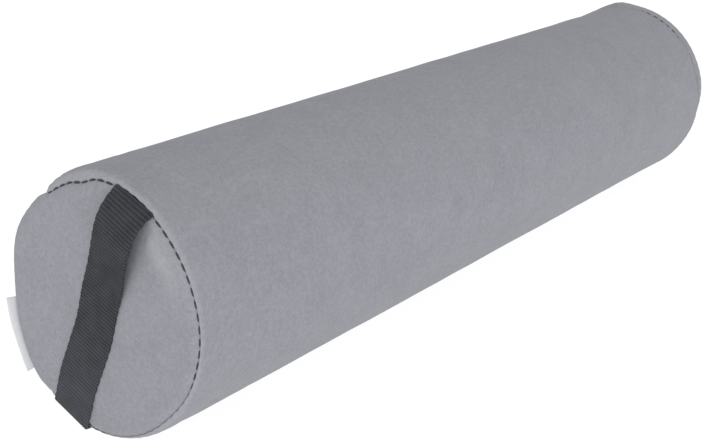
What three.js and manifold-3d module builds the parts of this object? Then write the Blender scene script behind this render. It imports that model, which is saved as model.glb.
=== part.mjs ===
// A posture roll: a firm foam cylinder in a sewn grey leatherette cover, with a
// webbing carry handle across one end and a zip along the hidden back.
// Millimetres, +Z up. The roll lies along X with the handle end at -X.
// The origin is the middle of the narrow flat that the roll rests on.

import * as THREE from 'three';
import { mergeVertices } from 'three/addons/utils/BufferGeometryUtils.js';
import Module from 'manifold-3d';

// Driving dimensions of the roll
const rollDiameter = 150;
const seamToSeam = 660;
const skinThickness = 1.2;
const fitGap = 0.3;
const restFlatDepth = 0.5;
const roundFacets = 48;

// The seams at the two ends
const seamInset = 3.75;
const shoulderReach = 5.5;
const shoulderDrop = 2.4;
const lipRise = 0.5;
const lipRound = 0.9;
const lipTuckShare = 0.33;
const grooveDepth = 1.2;
const seamAllowance = 10;
const allowanceThickness = 2.2;

// The padded end panels
const panelRimCrown = 1.5;
const panelRimWidth = 4.5;
const panelRimTurn = 40;
const panelValley = 0.8;
const panelCentreRise = 1.1;
const panelValleyShare = 0.8;
const panelCentreShare = 0.32;

// How the soft cover has settled: the near end leans, its seam wanders in and
// out, its rim dips and swells, and the far rim flares where its panel is a
// little wide for the tube. Shares go round from the top towards -Y.
const nearLean = 3.75;
const nearLeanAngle = 150;
const leanFade = 90;
const nearSeamShares = [
  0.920, 0.940, 0.942, 0.957, 0.972, 0.958, 0.935, 0.962,
  0.975, 0.975, 0.960, 0.950, 0.950, 0.950, 0.950, 0.905,
];
const nearDip = 4;
const nearDipShares = [
  -0.25, 0, 0, 0, 0, 0, 0, 0.12,
  0, 0, -0.5, 0.35, 0.93, 0.4, 1, 0.12,
];
const farFlare = 3;
const farFlareAngle = 29;
const farFlarePower = 2.9;
const endFade = 30;
const endFadeShares = [1, 0.75, 0.5];

// The webbing carry handle, a strap along a diameter of the near end
const handleWidth = 26.5;
const handleThickness = 1.8;
const handleAngle = 23.7;
const handleTail = 9;
const handleTwist = 0.7;
const handleStandOff = 7.9;
const handleSlackShare = 0.33;
const handleBend = 2.4;
// Places along the diameter as shares of the radius, from the top seam down,
// each with the height of the strap as a share of its greatest stand-off
const handleCourseShares = [
  [0.905, 0.30], [0.86, 0.52], [0.78, 0.78], [0.66, 0.96], [0.52, 1.00], [0.38, 0.92],
  [0.22, 0.74], [0.05, 0.56], [-0.14, 0.43], [-0.36, 0.37], [-0.62, 0.35], [-0.86, 0.34],
];

// The folded side label in the near seam
const labelThickness = 0.8;
const labelReach = 9.5;
const labelTail = 6;
const labelTilt = 85;
const labelFirstAngle = -98;
const labelLastAngle = -131;
const labelSteps = 6;

// The zip along the back
const zipAngle = -100;
const zipCentre = 10;
const toothPitch = 3.8;
const toothCount = 126;
const toothNeck = 1.25;
const toothHead = 1.95;
const toothOverlap = 1.1;
const toothHeight = 2.0;
const chainHalfWidth = 3.8;
const beadWidth = 1.5;
const beadSlotDepth = 0.8;
const tapeThickness = 0.5;
const tapeHalfWidth = 15;
const tapeSpare = 14;
const tapeFacets = 6;
const slotWidth = 12.4;
const slotEndSpare = 5;
const stopLength = 2.4;
const stopHeight = 2.6;

// The zip slider and its pull tab
const sliderLength = 13;
const sliderMouthWidth = 10.4;
const sliderTailWidth = 9.9;
const sliderPlate = 0.9;
const sliderFlange = 0.7;
const sliderTailShare = 0.8;
const wedgeLength = 4.2;
const wedgeWidth = 3.0;
const wedgeTip = 1.0;
const wedgeSetback = 0.6;
const bridgeWidth = 2.0;
const bridgeThickness = 1.0;
const bridgeSpan = 8;
const tabThickness = 1.2;
const tabLength = 27;
const tabWidth = 8;
const tabNeckShare = 0.36;
const tabShoulderLength = 2.4;
const tabEyeWidth = 3.4;
const tabEyeLength = 5.6;
const tabGripLength = 12;
const tabGripWidth = 4;

const foamChamfer = 3;
const cutOverrun = 2;
// The turns, in degrees, at which a rounded corner has its points
const cornerTurns = [0, 30, 60, 90];

// Places worked out from the sizes
const rollRadius = rollDiameter / 2;
const halfLength = seamToSeam / 2;
const axisHeight = rollRadius - restFlatDepth;
const seamRadius = rollRadius - seamInset;
const wallInside = rollRadius - skinThickness;
const hemRadius = seamRadius + fitGap / 2;
const skirtRadius = seamRadius - fitGap / 2;
const skirtInside = skirtRadius - allowanceThickness;
const tapeOutside = wallInside - fitGap;
const chainMiddle = tapeOutside - tapeThickness / 2;

const wasm = await Module();
wasm.setup();

const radians = (degrees) => degrees * Math.PI / 180;
const clamp01 = (value) => Math.min(1, Math.max(0, value));
const smooth = (value) => value * value * (3 - 2 * value);

// Angles around the roll are counted from the top towards -Y
function aroundAngle(y, z) {
  return Math.atan2(-y, z);
}

// The value at an angle of a smooth closed curve through shares round the roll
function shareAround(shares, angle) {
  const count = shares.length;
  const place = ((angle / (2 * Math.PI)) * count % count + count) % count;
  const index = Math.floor(place);
  const part = place - index;
  const [before, first, second, after] = [-1, 0, 1, 2].map(
    (step) => shares[(index + step + count) % count]);
  return 0.5 * (2 * first + (second - before) * part
    + (2 * before - 5 * first + 4 * second - after) * part ** 2
    + (3 * first - before - 3 * second + after) * part ** 3);
}

function nearSeamRadius(angle) {
  return rollRadius * shareAround(nearSeamShares, angle);
}

// Radii inside the nominal seam scale with it, and those outside are shared
// out between the seam and the roll's own radius, which stays
function followNearSeam(radius, angle) {
  const moved = nearSeamRadius(angle);
  if (radius <= seamRadius) return radius * moved / seamRadius;
  return rollRadius - (rollRadius - radius) * (rollRadius - moved) / seamInset;
}

function nearLeanAt(x, y, z) {
  const lean = radians(nearLeanAngle);
  const along = (-Math.sin(lean) * y + Math.cos(lean) * z) / rollRadius;
  const inward = x + halfLength - seamAllowance - foamChamfer;
  return nearLean * along * (1 - clamp01(inward / leanFade));
}

// How much the radius grows at the far rim, and shrinks at the near one
function farFlareAt(x, angle) {
  const inward = clamp01((halfLength - x) / endFade);
  const facing = 0.5 + 0.5 * Math.cos(angle - radians(farFlareAngle));
  return farFlare / rollRadius * facing ** farFlarePower * (1 - smooth(inward));
}

function nearDipAt(x, angle) {
  const inward = clamp01((x + halfLength) / endFade);
  return nearDip / rollRadius * shareAround(nearDipShares, angle) * (1 - smooth(inward));
}

// Settles a point of the straight roll, given about its axis
function settle(x, y, z) {
  const angle = aroundAngle(y, z);
  const radius = Math.hypot(y, z);
  const inward = x + halfLength - seamAllowance - fitGap;
  const held = 1 - clamp01(inward / foamChamfer);
  const drawn = radius + (followNearSeam(radius, angle) - radius) * held;
  const full = drawn * (1 + farFlareAt(x, angle) - nearDipAt(x, angle));
  const point = [x, -Math.sin(angle) * full, Math.cos(angle) * full];
  point[0] -= nearLeanAt(...point);
  return point;
}

// Geometry helpers
function tidied(geometry) {
  const bare = geometry.clone();
  bare.deleteAttribute('normal');
  bare.deleteAttribute('uv');
  const merged = mergeVertices(bare, fitGap / 1000);
  const kept = [];
  const index = merged.index.array;
  for (let at = 0; at < index.length; at += 3) {
    const [a, b, c] = [index[at], index[at + 1], index[at + 2]];
    if (a !== b && b !== c && c !== a) kept.push(a, b, c);
  }
  merged.setIndex(kept);
  return merged;
}

function solidFrom(geometry) {
  const merged = tidied(geometry);
  return new wasm.Manifold(new wasm.Mesh({
    numProp: 3,
    vertProperties: new Float32Array(merged.attributes.position.array),
    triVerts: new Uint32Array(merged.index.array),
  }));
}

function geometryFrom(solid) {
  const mesh = solid.getMesh();
  const geometry = new THREE.BufferGeometry();
  geometry.setAttribute('position', new THREE.BufferAttribute(new Float32Array(mesh.vertProperties), 3));
  geometry.setIndex([...mesh.triVerts]);
  return geometry;
}

function joined(first, ...others) {
  return others.reduce((whole, next) => whole.add(next), first);
}

// A block from its lowest to its highest corner
function blockBetween(low, high) {
  const block = new THREE.BoxGeometry(high[0] - low[0], high[1] - low[1], high[2] - low[2]);
  return block.translate(...low.map((value, axis) => (value + high[axis]) / 2));
}

// A plan outline in x and y, raised from one height to another
function plateBetween(points, low, high) {
  const shape = new THREE.Shape(points.map(([x, y]) => new THREE.Vector2(x, y)));
  const plate = new THREE.ExtrudeGeometry(shape, { depth: high - low, bevelEnabled: false });
  return plate.translate(0, 0, low);
}

// A section in y and z, drawn along x
function barBetween(points, first, last) {
  const shape = new THREE.Shape(points.map(([y, z]) => new THREE.Vector2(y, z)));
  const bar = new THREE.ExtrudeGeometry(shape, { depth: last - first, bevelEnabled: false });
  bar.applyMatrix4(new THREE.Matrix4().set(0, 0, 1, first, 1, 0, 0, 0, 0, 1, 0, 0, 0, 0, 0, 1));
  return bar;
}

// A profile of [x, radius] turned about the roll's axis, then settled
function turned(profile) {
  const lathe = new THREE.LatheGeometry(
    profile.map(([x, radius]) => new THREE.Vector2(radius, x)), roundFacets);
  const place = lathe.attributes.position;
  for (let at = 0; at < place.count; at += 1) {
    place.setXYZ(at, ...settle(place.getY(at), -place.getX(at), place.getZ(at)));
  }
  return lathe;
}

// Rings of equally many points, joined into a closed strip with flat ends
function lofted(rings) {
  const size = rings[0].length;
  const faces = [];
  for (let row = 0; row < rings.length - 1; row += 1) {
    for (let at = 0; at < size; at += 1) {
      const [a, b] = [row * size + at, row * size + (at + 1) % size];
      faces.push(a, b, a + size, b, b + size, a + size);
    }
  }
  const last = (rings.length - 1) * size;
  for (let at = 0; at < size / 2 - 1; at += 1) {
    const [a, b, c, d] = [at, at + 1, size - 2 - at, size - 1 - at];
    faces.push(a, c, b, a, d, c, last + a, last + b, last + c, last + a, last + c, last + d);
  }
  const geometry = new THREE.BufferGeometry();
  geometry.setAttribute('position', new THREE.Float32BufferAttribute(rings.flat(2), 3));
  geometry.setIndex(faces);
  return geometry;
}

// Materials
const leatherette = { color: 0x94959e, roughness: 0.72, metalness: 0 };
const webbing = { color: 0x3e3f44, roughness: 0.85, metalness: 0 };
const foam = { color: 0xd9d3bd, roughness: 0.95, metalness: 0 };
const tagRibbon = { color: 0xeceded, roughness: 0.7, metalness: 0 };
const zipCloth = { color: 0x55575d, roughness: 0.9, metalness: 0 };
const zipPlastic = { color: 0x4a4b50, roughness: 0.45, metalness: 0 };
const zipMetal = { color: 0x6f7176, roughness: 0.35, metalness: 1 };

const roll = new THREE.Group();
roll.position.set(0, 0, axisHeight);

const zip = new THREE.Group();
zip.rotation.x = radians(zipAngle);
roll.add(zip);

function place(group, name, geometry, finish) {
  const mesh = new THREE.Mesh(tidied(geometry), new THREE.MeshStandardMaterial(finish));
  mesh.name = name;
  group.add(mesh);
}

// Turns a solid made in the zip's own frame into the roll's frame
function fromZip(geometry) {
  return solidFrom(geometry.clone().rotateX(radians(zipAngle)));
}

// The zip's places along x
const teethLength = toothCount * toothPitch;
const teethStart = zipCentre - teethLength / 2;
const teethEnd = teethStart + teethLength;
const sliderTail = teethEnd - (sliderLength - wedgeLength - wedgeSetback) + fitGap;
const sliderFront = sliderTail + sliderLength;
const slotStart = teethStart - stopLength - slotEndSpare;
const slotEnd = sliderFront + stopLength + slotEndSpare;
const channelHalfHeight = toothHeight / 2 + fitGap;
const sliderBase = chainMiddle - channelHalfHeight - sliderPlate;
const sliderTop = chainMiddle + channelHalfHeight + sliderPlate;

// The body panel is one sheet rolled into a tube. At each end it rounds in over
// the shoulder, rolls into the seam and is turned back inside as a hem.
function bodyEnd() {
  const fading = (radius) => endFadeShares.map((share) => [-endFade * share, radius]);
  const outside = fading(rollRadius);
  for (const angle of cornerTurns) {
    outside.push([
      -shoulderReach + (shoulderReach + lipRise) * Math.sin(radians(angle)),
      rollRadius - shoulderDrop + shoulderDrop * Math.cos(radians(angle)),
    ]);
  }
  outside.push([lipRise - lipRound / 2, hemRadius + lipRound * lipTuckShare], [-grooveDepth, hemRadius]);
  const inside = [
    [-seamAllowance, hemRadius],
    [-seamAllowance - fitGap, wallInside],
    [-seamAllowance - fitGap - foamChamfer, wallInside],
    ...fading(wallInside).reverse(),
  ];
  return { outside, inside };
}

function bodyProfile() {
  const { outside, inside } = bodyEnd();
  const near = ([reach, radius]) => [-halfLength - reach, radius];
  const far = ([reach, radius]) => [halfLength + reach, radius];
  const leanEnds = halfLength - seamAllowance - foamChamfer - leanFade;
  const profile = [
    ...[...inside].map(near).reverse(),
    ...[...outside].reverse().map(near),
    [-leanEnds, rollRadius],
    ...outside.map(far),
    ...inside.map(far),
    [-leanEnds, wallInside],
  ];
  return [...profile, profile[0]];
}

// The end panel is a padded disc. Its rim stands up in a soft roll and its edge
// is turned down inside the tube, face to face with the body's hem.
function panelProfile() {
  const crownRadius = skirtRadius - panelRimWidth;
  const rimTurn = radians(panelRimTurn);
  const valleyRadius = panelValleyShare * rollRadius;
  const centreRadius = panelCentreShare * rollRadius;
  return [
    [panelCentreRise, 0],
    [panelCentreRise, centreRadius],
    [panelValley, valleyRadius],
    [panelRimCrown, crownRadius],
    [panelRimCrown * Math.cos(rimTurn), crownRadius + panelRimWidth * Math.sin(rimTurn)],
    [-grooveDepth * lipTuckShare, skirtRadius - lipRound * lipTuckShare],
    [-grooveDepth, skirtRadius],
    [-seamAllowance, skirtRadius],
    [-seamAllowance, skirtInside],
    [-skinThickness, skirtInside],
    [panelValley - skinThickness, valleyRadius],
    [panelCentreRise - skinThickness, centreRadius],
    [panelCentreRise - skinThickness, 0],
  ];
}

function foamProfile() {
  const shoulder = seamAllowance + fitGap;
  const wall = wallInside - fitGap;
  const plug = skirtInside - fitGap;
  const face = skinThickness + fitGap;
  const valleyRadius = panelValleyShare * rollRadius;
  const centreRadius = panelCentreShare * rollRadius;
  const end = [
    [-shoulder - foamChamfer, wall],
    [-shoulder, plug],
    [-face, plug],
    [panelValley - face, valleyRadius],
    [panelCentreRise - face, centreRadius],
    [panelCentreRise - face, 0],
  ];
  const near = end.map(([reach, radius]) => [-halfLength - reach, radius]).reverse();
  const leanEnds = halfLength - shoulder - foamChamfer - leanFade;
  const flare = endFadeShares.map((share) => [halfLength - endFade * share, wall]);
  const dip = flare.map(([x, radius]) => [-x, radius]).reverse();
  const far = end.map(([reach, radius]) => [halfLength + reach, radius]);
  return [...near, ...dip, [-leanEnds, wall], ...flare, ...far];
}

// The handle is a flat strap. Both tails are caught in the near seam, and the
// strap rounds the panel's rim and crosses it, slackest under the top seam.
function handleCourse() {
  const ends = [radians(handleAngle), radians(handleAngle + 180)].map(nearSeamRadius);
  const bendAt = (side) => {
    const seam = ends[side];
    const turn = cornerTurns.slice(0, -1).map((angle) => [
      seam - handleBend * (1 - Math.cos(radians(angle))),
      panelRimCrown - handleBend / 2 + handleBend * Math.sin(radians(angle)),
    ]);
    return [[seam, -handleTail], [seam, -grooveDepth], ...turn].map(
      ([along, height]) => [side === 0 ? along : -along, height]);
  };
  const middle = handleCourseShares.map(([along, height]) => [
    along * rollRadius, height * handleStandOff]);
  return [...bendAt(0), ...middle, ...bendAt(1).reverse()];
}

function handleRings(halfWidth, halfThickness, course) {
  const along = new THREE.Vector2(-Math.sin(radians(handleAngle)), Math.cos(radians(handleAngle)));
  const across = new THREE.Vector2(-along.y, along.x);
  const edge = halfThickness / 2;
  const section = [
    [-halfWidth + edge, -halfThickness], [halfWidth - edge, -halfThickness],
    [halfWidth, -edge], [halfWidth, edge],
    [halfWidth - edge, halfThickness], [-halfWidth + edge, halfThickness],
    [-halfWidth, edge], [-halfWidth, -edge],
  ];
  return course.map(([place, height], at) => {
    const before = course[Math.max(at - 1, 0)];
    const after = course[Math.min(at + 1, course.length - 1)];
    const run = new THREE.Vector2(after[0] - before[0], after[1] - before[1]).normalize();
    const slackFrom = handleStandOff * handleSlackShare;
    const slack = clamp01((height - slackFrom) / slackFrom);
    return section.map(([side, rise]) => {
      const lift = height + rise * -run.x + slack * handleTwist * side / halfWidth;
      const spot = place + rise * run.y;
      const y = along.x * spot + across.x * side;
      const z = along.y * spot + across.y * side;
      const x = -halfLength - lift;
      return [x - nearLeanAt(x, y, z), y, z];
    });
  });
}

// The label is a folded ribbon caught in the seam, standing out past the rim
function labelRings(halfThickness, tail, spare) {
  const tilt = radians(labelTilt);
  const rings = [];
  const first = radians(labelFirstAngle) + spare / seamRadius;
  const last = radians(labelLastAngle) - spare / seamRadius;
  for (let step = 0; step <= labelSteps; step += 1) {
    const angle = first + (last - first) * step / labelSteps;
    const seam = nearSeamRadius(angle);
    const knee = lipRise + labelThickness;
    const reach = labelReach + spare;
    const tip = [knee + reach * Math.cos(tilt), seam + reach * Math.sin(tilt)];
    const leanOut = [halfThickness * Math.sin(tilt), halfThickness * Math.cos(tilt)];
    const section = [
      [-tail, seam - halfThickness], [knee, seam - halfThickness],
      [tip[0] + leanOut[0], tip[1] - leanOut[1]], [tip[0] - leanOut[0], tip[1] + leanOut[1]],
      [knee - halfThickness, seam + halfThickness], [-tail, seam + halfThickness],
    ];
    rings.push(section.map(([height, radius]) => {
      const x = -halfLength - height;
      const drawn = radius * (1 - nearDipAt(x, angle));
      const [y, z] = [-Math.sin(angle) * drawn, Math.cos(angle) * drawn];
      return [x - nearLeanAt(x, y, z), y, z];
    }));
  }
  return rings;
}

const halfStrap = handleThickness / 2;
const handleSolid = solidFrom(lofted(handleRings(handleWidth / 2, halfStrap, handleCourse())));
const handleRoom = solidFrom(lofted(handleRings(
  handleWidth / 2 + fitGap, halfStrap + fitGap,
  handleCourse().map(([along, height]) => [along, height === -handleTail ? height - fitGap : height]))));
const labelSolid = solidFrom(lofted(labelRings(labelThickness / 2, labelTail, 0)));
const labelRoom = solidFrom(lofted(labelRings(
  labelThickness / 2 + fitGap, labelTail + fitGap, fitGap)));

// The cover's body, with the zip's opening and the flat that it rests on
const slotHalf = slotWidth / 2;
const zipOpening = fromZip(blockBetween(
  [slotStart, -slotHalf, wallInside - cutOverrun], [slotEnd, slotHalf, rollRadius + cutOverrun]));
const underFloor = solidFrom(blockBetween(
  [-seamToSeam, -rollDiameter, -rollDiameter], [seamToSeam, rollDiameter, -axisHeight]));
const bodySolid = solidFrom(turned(bodyProfile()))
  .subtract(zipOpening).subtract(underFloor).subtract(handleRoom).subtract(labelRoom);
place(roll, 'body_panel', geometryFrom(bodySolid), leatherette);

const nearPanel = turned(panelProfile().map(([reach, radius]) => [-halfLength - reach, radius]));
place(roll, 'near_end_panel', geometryFrom(
  solidFrom(nearPanel).subtract(handleRoom).subtract(labelRoom)), leatherette);
const farPanel = turned(panelProfile().map(([reach, radius]) => [halfLength + reach, radius]).reverse());
place(roll, 'far_end_panel', farPanel, leatherette);

place(roll, 'carry_handle', geometryFrom(handleSolid), webbing);
place(roll, 'side_label', geometryFrom(labelSolid), tagRibbon);

// Points on an arc about the roll's axis, in the zip's frame
function arcPoints(radius, first, last) {
  return Array.from({ length: tapeFacets + 1 }, (unused, step) => {
    const angle = (first + (last - first) * step / tapeFacets) / radius;
    return [radius * Math.sin(angle), radius * Math.cos(angle)];
  });
}

// The foam core, with the groove that the zip presses into it
const tapeStart = teethStart - stopLength - tapeSpare;
const tapeEnd = sliderFront + stopLength + tapeSpare;
const reliefHalf = tapeHalfWidth + fitGap;
const reliefFloor = tapeOutside - tapeThickness - fitGap;
const tapeRelief = fromZip(barBetween(
  [...arcPoints(reliefFloor, -reliefHalf, reliefHalf), ...arcPoints(rollRadius, reliefHalf, -reliefHalf)],
  tapeStart - fitGap, tapeEnd + fitGap));
const chainRelief = fromZip(blockBetween(
  [slotStart, -sliderMouthWidth / 2 - fitGap, sliderBase - fitGap],
  [slotEnd, sliderMouthWidth / 2 + fitGap, rollRadius]));
place(roll, 'foam_core', geometryFrom(
  solidFrom(turned(foamProfile())).subtract(tapeRelief).subtract(chainRelief)), foam);

// Zip teeth: each side is a bead along its tape with teeth that reach past the
// middle and widen at their heads, half a pitch out of step with the other side
function teethOutline(side) {
  const inner = chainHalfWidth - beadWidth;
  const stagger = side > 0 ? toothPitch / 2 : 0;
  const outline = [[teethStart, chainHalfWidth], [teethStart, inner]];
  for (let count = 0; count < toothCount; count += 1) {
    const middle = teethStart + toothPitch / 4 + stagger + count * toothPitch;
    outline.push(
      [middle - toothNeck / 2, inner],
      [middle - toothHead / 2, -toothOverlap],
      [middle + toothHead / 2, -toothOverlap],
      [middle + toothNeck / 2, inner]);
  }
  outline.push([teethEnd + toothPitch / 4, inner], [teethEnd + toothPitch / 4, chainHalfWidth]);
  return outline.map(([x, y]) => [x, y * side]);
}

function teeth(side) {
  const halfHeight = toothHeight / 2;
  const comb = solidFrom(plateBetween(
    teethOutline(side), chainMiddle - halfHeight, chainMiddle + halfHeight));
  const slotHalfHeight = tapeThickness / 2 + fitGap;
  const [near, away] = [chainHalfWidth - beadSlotDepth, chainHalfWidth + cutOverrun].map((y) => y * side);
  const slot = solidFrom(blockBetween(
    [teethStart - cutOverrun, Math.min(near, away), chainMiddle - slotHalfHeight],
    [teethEnd + cutOverrun, Math.max(near, away), chainMiddle + slotHalfHeight]));
  return comb.subtract(slot);
}

function tape(side) {
  const inner = (chainHalfWidth - beadSlotDepth + fitGap) * side;
  const outer = tapeHalfWidth * side;
  const section = [
    ...arcPoints(tapeOutside, inner, outer),
    ...arcPoints(tapeOutside - tapeThickness, outer, inner),
  ];
  return barBetween(section, tapeStart, tapeEnd);
}

for (const [name, side] of [['upper', -1], ['lower', 1]]) {
  place(zip, `zip_tape_${name}`, tape(side), zipCloth);
  place(zip, `zip_teeth_${name}`, geometryFrom(teeth(side)), zipPlastic);
}

// The stops at both ends of the zip: one block across the closed end, and one
// on each tape just past the slider
function stopBlock(first, last, low, high) {
  const half = stopHeight / 2;
  const block = solidFrom(blockBetween(
    [first, low, chainMiddle - half], [last, high, chainMiddle + half]));
  const slotHalfHeight = tapeThickness / 2 + fitGap;
  const tapeEdge = chainHalfWidth - beadSlotDepth;
  return [1, -1].reduce((whole, side) => {
    const [near, away] = [tapeEdge * side, (chainHalfWidth + cutOverrun) * side];
    return whole.subtract(solidFrom(blockBetween(
      [first - cutOverrun, Math.min(near, away), chainMiddle - slotHalfHeight],
      [last + cutOverrun, Math.max(near, away), chainMiddle + slotHalfHeight])));
  }, block);
}
place(zip, 'zip_bottom_stop', geometryFrom(stopBlock(
  teethStart - fitGap - stopLength, teethStart - fitGap, -chainHalfWidth, chainHalfWidth)), zipMetal);
const topStart = sliderFront + fitGap;
const topInner = chainHalfWidth - beadWidth;
place(zip, 'zip_top_stop_upper', geometryFrom(stopBlock(
  topStart, topStart + stopLength, -chainHalfWidth, -topInner)), zipMetal);
place(zip, 'zip_top_stop_lower', geometryFrom(stopBlock(
  topStart, topStart + stopLength, topInner, chainHalfWidth)), zipMetal);

// The slider: two plates joined by a wedge at the mouth, flanges that hold the
// tapes' edges, and a bridge over the top plate for the pull tab
function sliderOutline() {
  const [mouth, tail] = [sliderMouthWidth / 2, sliderTailWidth / 2];
  const notch = wedgeWidth / 2;
  return [
    [sliderTail, -tail * sliderTailShare], [sliderTail + sliderPlate, -tail],
    [sliderTail + sliderLength / 2, -tail],
    [sliderFront - sliderPlate, -mouth], [sliderFront, -mouth + sliderPlate],
    [sliderFront, -notch], [sliderFront - wedgeSetback, 0], [sliderFront, notch],
    [sliderFront, mouth - sliderPlate], [sliderFront - sliderPlate, mouth],
    [sliderTail + sliderLength / 2, tail],
    [sliderTail + sliderPlate, tail], [sliderTail, tail * sliderTailShare],
  ];
}

function slider() {
  const outline = sliderOutline();
  const plates = [
    plateBetween(outline, sliderBase, sliderBase + sliderPlate),
    plateBetween(outline, sliderTop - sliderPlate, sliderTop),
  ].map(solidFrom);
  const wedgeEnd = sliderFront - wedgeSetback;
  const wedge = solidFrom(plateBetween([
    [wedgeEnd - wedgeLength, 0], [wedgeEnd - wedgeLength / 2, -wedgeWidth / 2],
    [wedgeEnd, -wedgeTip / 2], [wedgeEnd, wedgeTip / 2], [wedgeEnd - wedgeLength / 2, wedgeWidth / 2],
  ], sliderBase + sliderPlate / 2, sliderTop - sliderPlate / 2));
  const slotHalfHeight = tapeThickness / 2 + fitGap;
  const flanges = [1, -1].flatMap((side) => [
    [sliderBase + sliderPlate / 2, chainMiddle - slotHalfHeight],
    [chainMiddle + slotHalfHeight, sliderTop - sliderPlate / 2],
  ].map(([low, high]) => {
    const wall = (sliderTailWidth / 2) * side;
    const inside = (sliderTailWidth / 2 - sliderFlange) * side;
    return solidFrom(blockBetween(
      [sliderTail + sliderPlate, Math.min(wall, inside), low],
      [sliderFront - sliderPlate, Math.max(wall, inside), high]));
  }));
  return joined(...plates, wedge, ...flanges, bridge());
}

const hingeHeight = sliderTop + fitGap + tabThickness / 2;
const hingePlace = (sliderTail + sliderFront) / 2;
const bridgeUnder = hingeHeight + tabThickness / 2 + fitGap;

function bridge() {
  const half = bridgeSpan / 2;
  const leg = bridgeThickness;
  const top = bridgeUnder + bridgeThickness;
  const foot = sliderTop - sliderPlate / 2;
  const outline = [
    [-half, foot], [-half, top - leg], [-half + leg, top], [half - leg, top], [half, top - leg], [half, foot],
    [half - leg, foot], [half - leg, bridgeUnder], [-half + leg, bridgeUnder], [-half + leg, foot],
  ];
  const arch = plateBetween(outline, -bridgeWidth / 2, bridgeWidth / 2);
  return solidFrom(arch.rotateX(Math.PI / 2).translate(hingePlace, 0, 0));
}
place(zip, 'zip_slider', geometryFrom(slider()), zipMetal);

// The pull tab lies back over the closed teeth. Its eye goes round the bridge,
// and its crossbar turns under it.
function pullTab() {
  const bar = tabThickness / 2;
  const [half, neck] = [tabWidth / 2, tabWidth * tabNeckShare];
  const shoulder = -tabEyeLength - tabShoulderLength;
  const outline = [
    [bar, -neck], [bar, neck], [-tabEyeLength - bar, neck],
    [shoulder, half], [-tabLength + half / 2, half], [-tabLength, half / 2],
    [-tabLength, -half / 2], [-tabLength + half / 2, -half],
    [shoulder, -half], [-tabEyeLength - bar, -neck],
  ];
  const low = hingeHeight - bar;
  const high = hingeHeight + bar;
  const whole = solidFrom(plateBetween(outline, low, high));
  const eye = solidFrom(blockBetween(
    [-tabEyeLength, -tabEyeWidth / 2, low - cutOverrun], [-bar, tabEyeWidth / 2, high + cutOverrun]));
  const gripEnd = -tabLength + half;
  const grip = solidFrom(blockBetween(
    [gripEnd, -tabGripWidth / 2, low - cutOverrun],
    [gripEnd + tabGripLength, tabGripWidth / 2, high + cutOverrun]));
  return geometryFrom(whole.subtract(eye).subtract(grip)).translate(hingePlace, 0, 0);
}
place(zip, 'zip_pull_tab', pullTab(), zipMetal);

export default roll;
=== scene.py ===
# %% [markdown]
# This scene dresses a posture roll: a firm foam cylinder in a sewn grey leatherette cover,
# with a webbing handle over one end and a zip along the hidden back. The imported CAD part
# is the frame: it fixes every size and place, and the pieces made here fit round it. Each
# step says first what the piece is on the real roll and why it is made the way it is.

# %% Load the frame
import math

import bpy
import numpy as np
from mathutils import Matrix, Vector


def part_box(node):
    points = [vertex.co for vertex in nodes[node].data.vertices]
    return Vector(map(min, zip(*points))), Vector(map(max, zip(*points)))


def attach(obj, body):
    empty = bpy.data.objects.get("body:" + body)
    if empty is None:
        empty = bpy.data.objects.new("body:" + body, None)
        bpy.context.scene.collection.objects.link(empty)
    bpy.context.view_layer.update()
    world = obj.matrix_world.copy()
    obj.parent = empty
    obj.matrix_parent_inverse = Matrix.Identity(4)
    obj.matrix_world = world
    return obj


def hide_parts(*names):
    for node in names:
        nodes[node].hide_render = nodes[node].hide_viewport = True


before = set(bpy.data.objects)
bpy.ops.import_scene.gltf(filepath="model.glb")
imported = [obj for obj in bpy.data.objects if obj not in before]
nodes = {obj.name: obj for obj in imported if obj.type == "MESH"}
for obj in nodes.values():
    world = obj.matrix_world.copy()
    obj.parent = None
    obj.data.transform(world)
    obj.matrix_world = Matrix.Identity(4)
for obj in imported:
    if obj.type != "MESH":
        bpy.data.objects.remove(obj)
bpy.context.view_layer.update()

# %% [markdown]
# The sizes. A cover like this is cut from a few numbers: the roll's diameter and length,
# how far in from the corner each seam lies, and how much cloth is turned in behind it.
# They are written in metres through one unit, so that a number reads as a tape would.

# %% Sizes of the roll
mm = 0.001
roll_radius = 75 * mm
half_length = 330 * mm
rest_flat_depth = 0.5 * mm
axis_height = roll_radius - rest_flat_depth
seam_inset = 3.75 * mm
seam_radius = roll_radius - seam_inset
seam_allowance = 10 * mm
fit_gap = 0.3 * mm
cover_thickness = 0.9 * mm
stitch_pitch = 6.5 * mm
handle_angle = math.radians(23.8)
handle_foot_angle = math.radians(199.6)
handle_half_width = 14.25 * mm
handle_room = 0.9 * mm
handle_drift = 3 * mm
handle_foot_drift = 2.2 * mm
label_first = math.radians(-99.5)
label_last = math.radians(-131)
full_turn = 2 * math.pi
print("seam to seam", 2 * half_length, "m, across", 2 * roll_radius, "m")

# %% [markdown]
# The settled form. A new cover is a true cylinder only on paper. This one leans a little
# at the handle end, its near seam wanders in and out as it was steered under the needle and
# has a notch where it turned a corner, its near rim dips and swells, and the far rim flares
# and peaks where the end panel is slightly wide for the tube. One function bends a straight
# roll into that form, and every piece of cloth goes through it, so neighbours stay together.

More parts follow.
